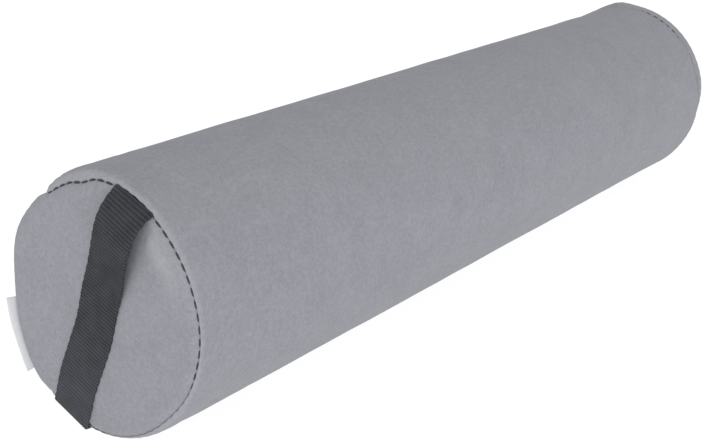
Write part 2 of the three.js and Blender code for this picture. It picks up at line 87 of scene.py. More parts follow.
# %% Numbers of the settled form
near_lean = 3.75 * mm
near_lean_angle = math.radians(150)
lean_fade = 90 * mm
hold_fade = 3 * mm
near_seam_shares = np.array([
    0.920, 0.940, 0.942, 0.957, 0.972, 0.958, 0.935, 0.962,
    0.975, 0.975, 0.960, 0.950, 0.950, 0.950, 0.950, 0.905,
])
near_notch = 1.7 * mm
near_notch_angle = math.radians(-9)
near_notch_spread = math.radians(6)
near_dip = 4 * mm
near_dip_shares = np.array([
    -0.25, 0, 0, 0, 0, 0, 0, 0.12,
    0, 0, -0.5, 0.35, 0.93, 0.4, 1, 0.12,
])
far_flare = 3 * mm
far_flare_angle = math.radians(29)
far_flare_power = 2.9
far_peak = 1.8 * mm
far_peak_angle = math.radians(-4)
far_peak_spread = math.radians(8)
end_fade = 30 * mm
print("lean and flare of the ends in mm:", round(near_lean / mm, 2), round(far_flare / mm, 2))

# %% Smooth shares and bumps
def smooth(value):
    """Eases a share from 0 to 1 without a kink at either end."""
    value = np.clip(value, 0, 1)
    return value * value * (3 - 2 * value)


def bell(away, width):
    """A smooth bump of 1 at nought, all but gone two widths away."""
    return np.exp(-(away / width) ** 2)


def turned(angle, middle=0):
    """The angle counted from a middle one, from minus half a turn to half a turn."""
    return (angle - middle + math.pi) % full_turn - math.pi


def curve_weights(part):
    """What each of four neighbours counts for, a part of the way between the middle two."""
    return 0.5 * np.stack([
        -part + 2 * part ** 2 - part ** 3, 2 - 5 * part ** 2 + 3 * part ** 3,
        part + 4 * part ** 2 - 3 * part ** 3, part ** 3 - part ** 2])


def share_around(shares, angle):
    """The value at an angle, from the top towards -Y, of a smooth closed curve through shares."""
    count = len(shares)
    place = np.asarray(angle) / full_turn * count % count
    index = np.floor(place).astype(int)
    weights = curve_weights(place - index)
    return sum(weight * shares[(index + step) % count] for step, weight in enumerate(weights, -1))


print("halfway along, a smooth share is", float(smooth(0.5)))

# %% Shape of the settled cover
def near_seam_at(angle):
    """The near seam's radius at an angle, with the notch where the sewing turned a corner."""
    notch = near_notch * bell(turned(angle, near_notch_angle), near_notch_spread)
    return roll_radius * share_around(near_seam_shares, angle) - notch


def lean_at(x, y, z):
    """How far the near end leans out along -X at a point given about the roll's axis."""
    along = (-math.sin(near_lean_angle) * y + math.cos(near_lean_angle) * z) / roll_radius
    inward = x + half_length - seam_allowance - hold_fade
    return near_lean * along * (1 - np.clip(inward / lean_fade, 0, 1))


def about_axis(angle, across, outward):
    """Y and Z, from the roll's axis, of a place given across and outward at an angle."""
    sine, cosine = math.sin(angle), math.cos(angle)
    return cosine * across - sine * outward, sine * across + cosine * outward


def settled(x, angle, radius):
    """Points of the straight roll, by x, angle and radius, as points of the settled one."""
    x, angle, radius = np.broadcast_arrays(x, angle, radius)
    moved = near_seam_at(angle)
    inside = radius * moved / seam_radius
    outside = roll_radius - (roll_radius - radius) * (roll_radius - moved) / seam_inset
    held = 1 - np.clip((x + half_length - seam_allowance - fit_gap) / hold_fade, 0, 1)
    drawn = radius + (np.where(radius <= seam_radius, inside, outside) - radius) * held
    facing = 0.5 + 0.5 * np.cos(angle - far_flare_angle)
    peak = bell(turned(angle, far_peak_angle), far_peak_spread)
    far_in, near_in = half_length - x, half_length + x
    flare = far_flare * facing ** far_flare_power * (1 - smooth(far_in / end_fade))
    flare = flare + far_peak * peak * (1 - smooth(far_in / (end_fade / 2)))
    dip = near_dip * share_around(near_dip_shares, angle) * (1 - smooth(near_in / end_fade))
    full = drawn * (1 + (flare - dip) / roll_radius)
    y, z = -np.sin(angle) * full, np.cos(angle) * full
    return np.stack([x - lean_at(x, y, z), y, z + axis_height], -1)


print("near seam radius in mm, top and sides:",
      [round(float(near_seam_at(math.radians(turn))) / mm, 1) for turn in (0, 90, 180, 270)])

# %% [markdown]
# Mesh helpers. Nearly every piece here is a strip or a tube of cloth, so it is a grid of
# points: rows one way, columns the other. Building the grid from a formula gives an even
# mesh with its detail where it is wanted, and Solidify then gives the sheet its thickness,
# so that each piece is a closed body.

# %% Grids and curves
scene = bpy.context.scene


def curve_through(points, steps):
    """A smooth curve through a few points, with the same number of steps between each two."""
    points = np.asarray(points, float)
    padded = np.concatenate([2 * points[:1] - points[1:2], points, 2 * points[-1:] - points[-2:-1]])
    weights = curve_weights(np.arange(steps) / steps)
    runs = [weights.T @ padded[first:first + 4] for first in range(len(points) - 1)]
    return np.concatenate([*runs, points[-1:]])


def grid_faces(rows, columns, round_columns=False):
    """The quads of a grid of points, joined up where its columns close on themselves."""
    row = np.arange(rows - 1)[:, None]
    column = np.arange(columns if round_columns else columns - 1)[None, :]
    over = (column + 1) % columns
    return np.stack([row * columns + column, row * columns + over,
                     (row + 1) * columns + over, (row + 1) * columns + column], -1).reshape(-1, 4)


def angles_round(count):
    """Angles an even step apart, once round the roll."""
    return np.arange(count) * full_turn / count


def unit(ways):
    """The same ways, each one metre long."""
    return ways / np.linalg.norm(ways, axis=-1, keepdims=True)


def closed_tube(rows, columns):
    """The faces of a grid that closes round its columns, with a cap at each end."""
    first, last = list(range(columns)), list(range((rows - 1) * columns, rows * columns))
    return grid_faces(rows, columns, round_columns=True).tolist() + [first[::-1], last]


print("a closed grid of 3 by 4 points has", len(closed_tube(3, 4)), "faces")

# %% Pieces, sheets and soft waves
def piece_from(name, points, faces, finish, body="roll"):
    """A smooth-shaded piece that rides on a body and takes its finish from a slot."""
    mesh = bpy.data.meshes.new(name)
    mesh.from_pydata(np.asarray(points).reshape(-1, 3).tolist(), [], [list(face) for face in faces])
    mesh.polygons.foreach_set("use_smooth", [True] * len(mesh.polygons))
    mesh.materials.append(finish)
    mesh.validate()
    piece = bpy.data.objects.new(name, mesh)
    scene.collection.objects.link(piece)
    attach(piece, body)
    return piece


def carry(piece, name, values):
    """Keeps one number for each point of a piece, for its finish to read."""
    numbers = np.zeros(len(piece.data.vertices))
    numbers[:np.size(values)] = np.ravel(values)
    piece.data.attributes.new(name, "FLOAT", "POINT").data.foreach_set("value", numbers)
    return piece


def thickened(piece, thickness):
    """Gives a sheet its thickness inwards and keeps the result as its mesh."""
    solid = piece.modifiers.new("thickness", "SOLIDIFY")
    solid.thickness = thickness
    solid.offset = -1
    bpy.context.view_layer.update()
    shape = piece.evaluated_get(bpy.context.evaluated_depsgraph_get())
    mesh = bpy.data.meshes.new_from_object(shape)
    piece.modifiers.clear()
    piece.data = mesh
    print(piece.name, len(mesh.polygons), "faces")
    return piece


def wander(points, size, seed):
    """A smooth random height of about -1 to 1 at each point, in waves about size long."""
    draw = np.random.default_rng(seed)
    total = np.zeros(points.shape[:-1])
    ways = 14
    for _ in range(ways):
        way = draw.normal(size=3)
        way *= full_turn / size * draw.uniform(0.7, 1.4) / np.linalg.norm(way)
        total += np.sin(points @ way + draw.uniform(0, full_turn))
    return total / math.sqrt(ways)


def waves(points, table, shift=0):
    """The sum of several wanders, each by its height, its size and its seed."""
    return sum(height * wander(points, size, seed + shift) for height, size, seed in table)


print("pieces go into the scene", scene.name)

# %% [markdown]
# The cover under tension. Cloth sewn over foam is never quite even: it swells between its
# seams and pulls where a seam wanders. Blender's cloth finds that better than a formula, so
# a coarse blank of the whole cover, held along both seams and pressed out from inside, is
# left to settle for twenty frames. A blank coarse enough to settle quickly couldn't hold the
# seams' lips, so only its unevenness is kept, and the fine grids below add it to their form.

# %% Blank of the cover
blank_columns = 84
blank_rings = 12
blank_rows = 112
blank_hub = 6 * mm
blank_wall_end = half_length - 4 * mm
blank_slack = 0.015
blank_pressure = 4
blank_frames = 20
mean_share_on_wall = 0.5
mean_share_on_panels = 0.12
fold_share = 0.35
most_swell = 1.2 * mm


def cover_blank():
    """The blank's points: rows from the near panel's middle over the tube to the far one's."""
    rings = np.linspace(blank_hub, seam_radius, blank_rings)
    along = np.linspace(-blank_wall_end, blank_wall_end, blank_rows)
    x = np.concatenate([np.full(blank_rings, -half_length), along, np.full(blank_rings, half_length)])
    radius = np.concatenate([rings, np.full(blank_rows, roll_radius), rings[::-1]])
    return settled(x[:, None], angles_round(blank_columns), radius[:, None])


print("the blank has", cover_blank()[..., 0].size, "points")

# %% Cloth simulation of the cover
def settled_cloth(start):
    """The blank's points after the cloth has been pressed out between its seams."""
    rows, columns = start.shape[:2]
    mesh = bpy.data.meshes.new("cover_blank")
    mesh.from_pydata(start.reshape(-1, 3).tolist(), [], closed_tube(rows, columns))
    blank = bpy.data.objects.new("cover_blank", mesh)
    scene.collection.objects.link(blank)
    seams = blank.vertex_groups.new(name="seams")
    for row in (blank_rings - 1, rows - blank_rings):
        seams.add(list(range(row * columns, (row + 1) * columns)), 1.0, "REPLACE")
    cloth = blank.modifiers.new("cloth", "CLOTH")
    cloth.settings.vertex_group_mass = "seams"
    cloth.settings.shrink_min = -blank_slack
    cloth.settings.use_pressure = True
    cloth.settings.uniform_pressure_force = blank_pressure
    cloth.settings.effector_weights.gravity = 0
    cloth.point_cache.frame_start = 1
    cloth.point_cache.frame_end = blank_frames
    for number in range(1, blank_frames + 1):
        scene.frame_set(number)
    shape = blank.evaluated_get(bpy.context.evaluated_depsgraph_get())
    moved = np.empty(start.size)
    shape.data.vertices.foreach_get("co", moved)
    scene.frame_set(1)
    bpy.data.objects.remove(blank)
    return moved.reshape(start.shape)


def cloth_swell():
    """How far the settled cloth stands out at each point of the blank, evened and capped."""
    start = cover_blank()
    rows, columns = start.shape[:2]
    moved = settled_cloth(start) - start
    angle, row = angles_round(columns), np.arange(rows)[:, None]
    radial = -np.sin(angle) * moved[..., 1] + np.cos(angle) * moved[..., 2]
    near, far = row < blank_rings, row >= rows - blank_rings
    swell = np.where(near, -moved[..., 0], np.where(far, moved[..., 0], radial))
    mean = swell.mean(1, keepdims=True)
    on_wall = mean_share_on_wall * (mean - mean[rows // 2])
    evened = np.where(near | far, mean_share_on_panels * mean, on_wall) + fold_share * (swell - mean)
    return most_swell * np.tanh(evened / most_swell)


swell = cloth_swell()
print("cloth stands out by", round(swell.min() / mm, 2), "to", round(swell.max() / mm, 2), "mm")

# %% Swell between the blank's points
def swell_at(row, angle):
    """The cloth's swell at places between the blank's rows and at angles round it."""
    rows, columns = swell.shape
    row, column = np.clip(row, 0, rows - 1.001), np.asarray(angle) / full_turn * columns
    row, column = np.broadcast_arrays(row, column)
    first_row, first_column = np.floor(row).astype(int), np.floor(column).astype(int)
    down, over = curve_weights(row - first_row), curve_weights(column - first_column)
    total = np.zeros(row.shape)
    for low in range(4):
        for left in range(4):
            at_row = np.clip(first_row + low - 1, 0, rows - 1)
            total += down[low] * over[left] * swell[at_row, (first_column + left - 1) % columns]
    return total


def wall_row(x):
    """The blank's row at a place along the tube."""
    return blank_rings + (x + blank_wall_end) / (2 * blank_wall_end) * (blank_rows - 1)


def panel_row(side, radius):
    """The blank's row at a radius on an end panel."""
    ring = np.clip((radius - blank_hub) / (seam_radius - blank_hub), 0, 1) * (blank_rings - 1)
    return ring if side < 0 else 2 * blank_rings + blank_rows - 1 - ring


print("on top, halfway along, it stands out by", round(float(swell_at(wall_row(0), 0)) / mm, 2), "mm")

# %% [markdown]
# Shader sums. A finish such as leatherette is a sum of patterns: a base colour, a soft
# cloudiness and a fine grain. Written as nodes that takes a page, so one small class
# wraps a socket and lets it be added and multiplied like a number, and a second makes
# any node from its type, its settings and its inputs.

# %% A socket that can be used in sums
class Signal:
    """The output of a node, usable in sums: each sum adds one Math node."""

    def __init__(self, finish, socket):
        self.finish, self.socket = finish, socket

    def sum_with(self, operation, first, second):
        return self.finish.node("Math", {"operation": operation}, {0: first, 1: second})

    def __add__(self, other):
        return self.sum_with("ADD", self, other)

    def __sub__(self, other):
        return self.sum_with("SUBTRACT", self, other)

    def __rsub__(self, other):
        return self.sum_with("SUBTRACT", other, self)

    def __mul__(self, other):
        return self.sum_with("MULTIPLY", self, other)

    __radd__ = __add__
    __rmul__ = __mul__


print("a socket can be added, taken away and multiplied")

# %% A material made node by node
class Finish:
    """A material, or the surround, under construction."""

    def __init__(self, name, kind=bpy.data.materials):
        self.material = kind.new(name)
        self.material.use_nodes = True
        self.tree = self.material.node_tree
        self.tree.nodes.clear()

    def node(self, kind, settings=None, inputs=None, output=0):
        """Adds a shader node: its settings first, then the values or links of its sockets."""
        made = self.tree.nodes.new("ShaderNode" + kind)
        for name, value in (settings or {}).items():
            setattr(made, name, value)
        for name, value in (inputs or {}).items():
            if isinstance(value, Signal):
                self.tree.links.new(value.socket, made.inputs[name])
            else:
                made.inputs[name].default_value = value
        return Signal(self, made.outputs[output])

    def place(self):
        """Where a point lies in its own piece, in metres."""
        return self.node("TexCoord", output=3)

    def noise(self, size, detail=2.0, roughness=0.5):
        """Noise from 0 to 1 whose spots are about size across."""
        return self.node("TexNoise", {}, {
            "Vector": self.place(), "Scale": 1 / size, "Detail": detail, "Roughness": roughness})

    def bump(self, height, depth, strength=0.5):
        """A fine relief of a given depth."""
        return self.node("Bump", {}, {"Strength": strength, "Distance": depth, "Height": height})

    def clamped(self, tone):
        return self.node("Clamp", {}, {"Value": tone})

    def mixed(self, share, *colours):
        """The first colour going over to the second as share goes from 0 to 1."""
        first, second = (shade if isinstance(shade, Signal) else linear(*shade) for shade in colours)
        return self.node("Mix", {"data_type": "RGBA"}, {0: share, 6: first, 7: second}, output=2)

    def done(self, **inputs):
        """Closes the material with its surface and returns it."""
        named = {name.replace("_", " "): value for name, value in inputs.items()}
        self.close(self.node("BsdfPrincipled", {}, named))
        return self.material

    def close(self, surface, kind="OutputMaterial"):
        end = self.tree.nodes.new("ShaderNode" + kind)
        self.tree.links.new(surface.socket, end.inputs["Surface"])


def linear(red, green, blue):
    """A screen colour of 0 to 255 as the linear colour that a shader takes."""
    shares = np.array([red, green, blue]) / 255
    light = np.where(shares <= 0.04045, shares / 12.92, ((shares + 0.055) / 1.055) ** 2.4)
    return (*light.tolist(), 1.0)


print("a screen grey of 128 is", round(linear(128, 128, 128)[0], 3), "to a shader")

# %% [markdown]
# The leatherette. A coated cloth with a matt, suede-like face: no gloss, a grain of tiny
# pits about a millimetre across, and a faint cloudiness where the coating took the light
# differently. An image would repeat along 660 mm of roll, so noise in the object's own
# space does both, and the same noise drives a slight bump and a slight change of roughness.
# Along the seam's lips and the near panel's ridge, where those catch the light, the colour is
# painted lighter: a painted highlight. Each piece carries it as one number for each of its points.

# %% Leatherette finish
def leatherette_finish():
    finish = Finish("grey_leatherette")
    grain = finish.noise(0.9 * mm, detail=3.0, roughness=0.6)
    fleck = finish.noise(2.6 * mm)
    cloud = finish.noise(16 * mm)
    drift = finish.noise(70 * mm)
    tone = (grain - 0.5) * 1.6 + (fleck - 0.5) * 1.0 + (cloud - 0.5) * 0.5 + (drift - 0.5) * 0.3 + 0.5
    colour = finish.mixed(finish.clamped(tone), (137, 138, 145), (159, 160, 167))
    # Painted highlight: each piece's number for it mixes the colour towards a paler grey.
    painted_highlight = finish.node("Attribute", {"attribute_name": "painted_highlight"}, output=2)
    colour = finish.mixed(painted_highlight, colour, (184, 187, 192))
    pits = finish.node("TexVoronoi", {"feature": "SMOOTH_F1"}, {
        "Vector": finish.place(), "Scale": 1 / (1.1 * mm), "Smoothness": 0.6})
    height = pits * 0.6 + grain * 0.5 + fleck * 0.3
    return finish.done(Base_Color=colour, Roughness=0.78 + (grain - 0.5) * 0.16,
                       Normal=finish.bump(height, 0.12 * mm, 0.35), Specular_IOR_Level=0.3)


leatherette = leatherette_finish()
print("made", leatherette.name)

# %% [markdown]
# The ends in section. Seen cut open, the tube's cloth comes along the wall, rounds the
# corner, rolls into the seam and turns back inside. The end panel's cloth meets it there:
# a padded rim stands up beside the seam, and its edge is turned in behind. Each section
# is a few points of (reach, radius), reach being counted out from the seam's plane. Over a
# part of each end the sewing crept round the corner, so the sections have a second form,
# with the seam on the wall, and each angle takes its share of the two.

# %% Sections of both ends
tube_end = np.array([
    (-14, 75), (-9.5, 75), (-5.5, 75), (-1.3, 74.3), (0.5, 72.6),
    (0.0, 71.75), (-1.2, 71.4), (-4, 71.4), (-10, 71.4),
]) * mm
tube_end_over = np.array([
    (-14, 75), (-12, 75), (-10.2, 75.1), (-8.9, 75.1), (-7.7, 74.7),
    (-7.1, 74.0), (-7.0, 73.2), (-7.6, 72.4), (-10, 71.4),
]) * mm
panel_end = np.array([
    (0.8, 60), (1.2, 63.5), (1.5, 66.6), (1.34, 68.14), (0.87, 69.49), (0.15, 70.5),
    (-0.5, 70.9), (-1.0, 71.05), (-1.6, 71.1), (-4, 71.1), (-10, 71.1),
]) * mm
panel_end_over = np.array([
    (0.8, 60), (1.2, 63.5), (1.5, 66.6), (1.3, 69.6), (0.3, 72.6), (-1.5, 74.6),
    (-3.8, 75.3), (-5.7, 74.8), (-6.7, 73.4), (-7.6, 72.2), (-10, 71.1),
]) * mm
section_steps = 5
near_creep = np.radians([-147, -135, -48, -32])
far_creep = np.radians([-48, -6, 74, 117])


def over_share(side, angle):
    """How far an end's seam has crept over the corner at an angle, from 0 to 1."""
    first, full, fades, last = near_creep if side < 0 else far_creep
    turn = turned(angle)
    return smooth((turn - first) / (full - first)) * (1 - smooth((turn - fades) / (last - fades)))


def end_section(side, plain, over, angle):
    """A section's points as reach and radius at each angle: arrays of points by angles."""
    share = over_share(side, angle)[None, :, None]
    first, second = curve_through(plain, section_steps), curve_through(over, section_steps)
    both = first[:, None, :] * (1 - share) + second[:, None, :] * share
    return both[..., 0], both[..., 1]


print("tube section", len(tube_end), "points, panel section", len(panel_end), "points")

# %% [markdown]
# The stitches' pull. At every stitch the thread draws both cloths down into the seam, and
# between stitches they swell out again. That is a ripple along the seam, deepest at its
# edge and gone within a finger's width. It is real shape here, because it catches light.
# Where the handle goes into the near seam, the two cloths part by the strap's thickness.

# %% Ripple along a seam
pucker_depth = 0.35 * mm
pucker_reach = 4.5 * mm
handle_room_reach = 3 * mm
crossing_past = 0.5 * mm
crossing_fade = 2.5 * mm
drift_start_share, drift_run_share = 0.15, 0.4
foot_drift_start_share, foot_drift_run_share = -0.62, 0.32
stitch_count = round(full_turn * seam_radius / stitch_pitch)
stitch_turn = full_turn / stitch_count


def handle_crossing(angle):
    """From 0 to 1, whether the handle crosses the near seam at an angle."""
    aside = np.minimum(np.abs(turned(angle, handle_angle)), np.abs(turned(angle, handle_foot_angle)))
    return 1 - smooth((aside * seam_radius - handle_half_width + crossing_past) / crossing_fade)


def handle_drift_at(along):
    """How far the handle's middle has moved aside at a place along the diameter."""
    share = along / roll_radius
    drift = handle_drift * smooth((drift_start_share - share) / drift_run_share)
    return drift + handle_foot_drift * smooth((foot_drift_start_share - share) / foot_drift_run_share)


def pucker(angle, away):
    """How deep the cloth is drawn in at an angle, a distance away from the seam."""
    ripple = 0.5 + 0.5 * np.cos(stitch_count * angle)
    return pucker_depth * ripple * bell(away, pucker_reach)


def parting(angle, away):
    """How far the handle parts the two cloths at an angle, a distance away from the near seam."""
    return handle_room * handle_crossing(angle) * bell(away, handle_room_reach)


print(stitch_count, "stitches round each seam")

# %% [markdown]
# The tube of the cover. It is one sheet, so it is one grid: columns round the roll, rows
# along it, closest together where the corners round. The columns are set from the zip's
# own angle, so that the slot for the zip falls between two of them, and the cells in the
# slot are left out. The cloth beside the slot rolls in over the tape, as a folded edge does.
# The cloth's swell comes last, and fades towards the zip, whose tapes hold the cloth flat.

# %% Slot, edges and lips of the tube
zip_angle = math.radians(-100)
zip_low, zip_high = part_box("zip_teeth_upper")
slot_half = 6.2 * mm / roll_radius
slot_room_near, slot_room_far = 7.1 * mm, 12.5 * mm
slot_first = zip_low.x - slot_room_near
slot_last = zip_high.x + slot_room_far
beside_slot = np.array([0, 0.35, 0.7, 1.1, 1.6, 2.3, 3.2]) * mm
even_from = 4.4 * mm
edge_roll = 1.5 * mm
edge_depth = 0.9 * mm
closed_seam_depth = 0.7 * mm
closed_seam_width = 1.1 * mm
wall_fade = 6 * mm
swell_from_zip = 9 * mm
swell_fade = 20 * mm
wall_waves = [(0.2 * mm, 130 * mm, 3), (0.08 * mm, 45 * mm, 5)]
floor_clearance = 0.05 * mm
tube_columns = 372
seam_point_of_tube = 6
lip_away = 1.8 * mm
lip_width = 0.9 * mm
# How much the painted highlight on the lip beside each seam lightens the colour.
painted_lip_highlight = 0.22
top_settle = 0.5 * mm
most_pull = 0.9 * mm
print("the zip's slot is", round((slot_last - slot_first) / mm, 1), "mm long")

# %% Grid of the tube
def column_angles(count):
    """Angles round the roll from one side of the slot to the other, closest at its edges."""
    close = beside_slot / roll_radius
    first_spread = slot_half + even_from / roll_radius
    spread = np.linspace(first_spread, full_turn - first_spread, count)
    within = np.linspace(-slot_half, slot_half, 9)[1:-1]
    return zip_angle + np.concatenate([
        slot_half + close, spread, full_turn - slot_half - close[::-1], full_turn + within])


def tube_points(angle):
    """The tube's grid of points, from the near hem to the far hem."""
    near_reach, near_radius = end_section(-1, tube_end, tube_end_over, angle)
    far_reach, far_radius = end_section(1, tube_end, tube_end_over, angle)
    wall_end = half_length + tube_end[0, 0] - 1.5 * mm
    along = np.concatenate([
        np.linspace(-wall_end, slot_first, 50)[:-1],
        np.linspace(slot_first, slot_last, 110),
        np.linspace(slot_last, wall_end, 34)[1:]])
    wall = np.broadcast_to(along[:, None], (len(along), len(angle)))
    x = np.concatenate([-half_length - near_reach[::-1], wall, half_length + far_reach])
    radius = np.concatenate([near_radius[::-1], np.full_like(wall, roll_radius), far_radius])
    return x, radius


def seam_distance(side, angle, x, radius):
    """How far each point of the tube is from an end's seam."""
    share = over_share(side, angle)
    plain, over = tube_end[seam_point_of_tube], tube_end_over[seam_point_of_tube]
    seam_reach, seam_at = plain[:, None] + (over - plain)[:, None] * share
    return np.hypot(side * x - half_length - seam_reach, radius - seam_at)


print("the tube has", len(column_angles(tube_columns)), "columns")

# %% Tube of the cover
def make_tube():
    angle = column_angles(tube_columns)
    x, radius = tube_points(angle)
    turn = turned(angle, zip_angle)
    from_zip = np.abs(turn)[None, :] * roll_radius
    near_away = seam_distance(-1, angle, x, radius)
    far_away = seam_distance(1, angle, x, radius)
    shown = radius > seam_radius + fit_gap
    radius = radius - np.where(shown, pucker(angle, near_away) + pucker(angle, far_away), 0)
    radius = radius + parting(angle, near_away)
    in_length = smooth((x - slot_first) / edge_roll + 0.5) * smooth((slot_last - x) / edge_roll + 0.5)
    at_edge = bell(from_zip - slot_half * roll_radius, edge_roll)
    closed_seam = closed_seam_depth * bell(from_zip, closed_seam_width) * (1 - in_length)
    on_wall = smooth((half_length - np.abs(x)) / wall_fade)
    radius = radius - on_wall * (in_length * at_edge * edge_depth + closed_seam)
    points = settled(x, angle, radius)
    outward = points - np.array([0, 0, axis_height])
    outward[..., 0] = 0
    swollen = swell_at(wall_row(x), angle) * smooth((from_zip - swell_from_zip) / swell_fade)
    soft = waves(points, wall_waves) + swollen
    soft = np.maximum(soft - top_settle * np.clip(np.cos(angle), 0, 1), -most_pull)
    points = points + unit(outward) * (soft * on_wall)[..., None]
    points[..., 2] = np.maximum(points[..., 2], floor_clearance)
    rows, columns = points.shape[:2]
    faces = grid_faces(rows, columns, round_columns=True)
    row, column = faces[:, 0] // columns, faces[:, 0] % columns
    middle_x = (x[row, column] + x[row + 1, column]) / 2
    widest = np.maximum(np.abs(turn[column]), np.abs(turn[(column + 1) % columns]))
    in_slot = (middle_x > slot_first) & (middle_x < slot_last) & (widest < slot_half * 1.001)
    tube = piece_from("cover_tube", points, faces[~in_slot], leatherette)
    # Painted highlight on the rolled lip just outside each seam, where it would catch the light.
    lip = bell(near_away - lip_away, lip_width) + bell(far_away - lip_away, lip_width)
    return carry(tube, "painted_highlight", painted_lip_highlight * lip * (radius > seam_radius + fit_gap))


cover_tube = thickened(make_tube(), cover_thickness)
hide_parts("body_panel")

# %% [markdown]
# The end panels. Each is a disc of the same cloth over the foam's end. Its rim stands up
# where the seam crowds it, and the near one also carries a soft ridge, running down beside
# the seam from the handle's top corner, where the handle pulls, and is pressed in under the
# strap. A panel is a polar grid, finest at the rim, with its heights from a few soft shapes
# and the cloth's swell added together.

# %% End panels
panel_columns = 360
seam_point_of_panel = 7
panel_waves = [(0.15 * mm, 55 * mm, 11), (0.1 * mm, 22 * mm, 13)]
even_radius = 69 * mm
even_fade = 12 * mm
pressed_fade = 5 * mm
drawn_in_share = 0.4
panel_rise = 0.8 * mm
pressed_rise = 1.6 * mm
ridge_angle = math.radians(50)
ridge_spread = math.radians(18)
ridge_radius = 61 * mm
ridge_width = 6.0 * mm
ridge_height = 2 * mm
# How much the painted highlight along the near panel's ridge lightens the colour.
painted_ridge_highlight = 0.34


def ridge(angle, radius):
    """The soft fold beside the near seam, under the handle's top corner."""
    along = bell(turned(angle, ridge_angle), ridge_spread)
    return ridge_height * along * bell(radius - ridge_radius, ridge_width)


def make_panel(name, side):
    angle = angles_round(panel_columns)
    reach, radius = end_section(side, panel_end, panel_end_over, angle)
    inner = np.concatenate([[0.5], np.linspace(3, 57, 19)])[:, None] * mm
    inner = np.broadcast_to(inner, (len(inner), len(angle)))
    reach = np.concatenate([np.full(inner.shape, panel_rise), reach])
    radius = np.concatenate([inner, radius])
    row = seam_point_of_panel * section_steps + len(inner)
    away = np.hypot(reach - reach[row], radius - radius[row])
    shown = smooth((row + 4 - np.arange(len(reach))) / 6)[:, None]
    drawn = pucker(angle, away) * shown
    flat = np.stack([side * reach, -np.sin(angle) * radius, np.cos(angle) * radius], -1)
    soft = waves(flat, panel_waves, side) * smooth((even_radius - radius) / even_fade)
    fold = ridge(angle, radius) if side < 0 else np.zeros(reach.shape)
    raised = reach + (soft + swell_at(panel_row(side, radius), angle)) + fold
    parted = 0
    if side < 0:
        parted = parting(angle, away)
        along, aside = np.cos(angle - handle_angle) * radius, np.sin(angle - handle_angle) * radius
        aside = np.abs(aside - handle_drift_at(along))
        under_handle = 1 - smooth((aside - handle_half_width) / pressed_fade)
        raised = raised - under_handle * np.maximum(raised - pressed_rise, 0)
    drawn_radius = radius - drawn_in_share * drawn - parted
    points = settled(side * (half_length + raised - drawn), angle, drawn_radius)
    centre = points[0].mean(0)
    rows, columns = points.shape[:2]
    faces = grid_faces(rows, columns, round_columns=True)
    if side < 0:
        faces = faces[:, ::-1]
    hub = rows * columns
    ring = np.arange(columns)
    fan = np.stack([np.full(columns, hub), ring, (ring + 1) % columns], -1)
    faces = [*faces.tolist(), *(fan[:, ::-1] if side < 0 else fan).tolist()]
    points = np.concatenate([points.reshape(-1, 3), centre[None, :]])
    piece = piece_from(name, points, faces, leatherette)
    # Painted highlight along the ridge, following its height and strongest on its crest.
    carry(piece, "painted_highlight", painted_ridge_highlight * fold / ridge_height)
    thickened(piece, cover_thickness)
    return piece


near_panel = make_panel("near_cover_end", -1)
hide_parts("near_end_panel")
far_panel = make_panel("far_cover_end", 1)
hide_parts("far_end_panel")

# %% [markdown]
# Thread. The seams are closed by hand-sized stitches of thick dark thread, which show in
# the groove as dashes about five millimetres long. Each is a short round bar, bent to the
# seam with its ends diving into the cloth. Where the handle and the label cover the seam,
# the stitches lie under them and aren't made.

# %% Thread
thread_radius = 0.72 * mm
deepest_thread = 0.9 * mm
least_far_share = 0.4
covering_share = 0.3
stitch_share = 0.77
thread_at = np.array([[0.35], [71.3]]) * mm
thread_at_over = np.array([[-6.9], [74.2]]) * mm
thread_dive = 0.7 * mm
near_sinks, near_sinks_over = 104, 18
far_shows, far_shows_over = 8, 14
far_sinks, far_sinks_over = 34, 16


def spotted_finish(name, size, dark, light, roughness, detail=2.0, duller=0, relief=None, **more):
    """A finish of one noise, which drives its colour, its gloss and its relief together."""
    finish = Finish(name)
    spots = finish.noise(size, detail)
    if relief:
        more["Normal"] = finish.bump(spots, *relief)
    return finish.done(Base_Color=finish.mixed(spots, dark, light),
                       Roughness=spots * duller + roughness, **more)


thread = spotted_finish("dark_thread", 0.5 * mm, (36, 37, 42), (70, 72, 77), 0.7,
                        detail=3.0, relief=(0.08 * mm, 0.5))


def stitch_tubes(name, lines, outwards, radius):
    """One piece of many short bars: each follows a line of points and thins to its ends."""
    sides = 8
    points, faces = [], []
    for line, outward in zip(lines, outwards):
        run = unit(np.gradient(line, axis=0))
        over = unit(np.cross(run, outward))
        lift = np.cross(over, run)
        share = np.linspace(-1, 1, len(line))
        thick = radius * np.sqrt(np.clip(1 - np.abs(share) ** 5, 0.06, 1))
        turn = angles_round(sides)
        rings = line[:, None, :] + thick[:, None, None] * (
            np.cos(turn)[None, :, None] * over[:, None, :] + np.sin(turn)[None, :, None] * lift[:, None, :])
        start = sum(len(ring) for ring in points)
        points.append(rings.reshape(-1, 3))
        faces += (grid_faces(len(line), sides, round_columns=True) + start).tolist()
        last = start + (len(line) - 1) * sides
        faces += [list(range(start, start + sides)), list(range(last + sides - 1, last - 1, -1))]
    piece_from(name, np.concatenate(points), faces, thread)
    print(name, len(lines), "stitches")


print("made", thread.name)

# %% Stitches in both seams
def covered(angle):
    """Whether the handle or the label covers the near seam at an angle."""
    return handle_crossing(angle) > covering_share or label_last < turned(angle) < label_first


def sinking(side, angle):
    """How far the thread has sunk into the groove where the cloth closes over it."""
    turn = np.degrees(turned(angle))
    if side < 0:
        return deepest_thread * smooth((turn - near_sinks) / near_sinks_over)
    shown = 1 - smooth((turn - far_sinks) / far_sinks_over)
    shown = shown * smooth((turn - far_shows) / far_shows_over)
    return deepest_thread * np.maximum(1 - shown, least_far_share)


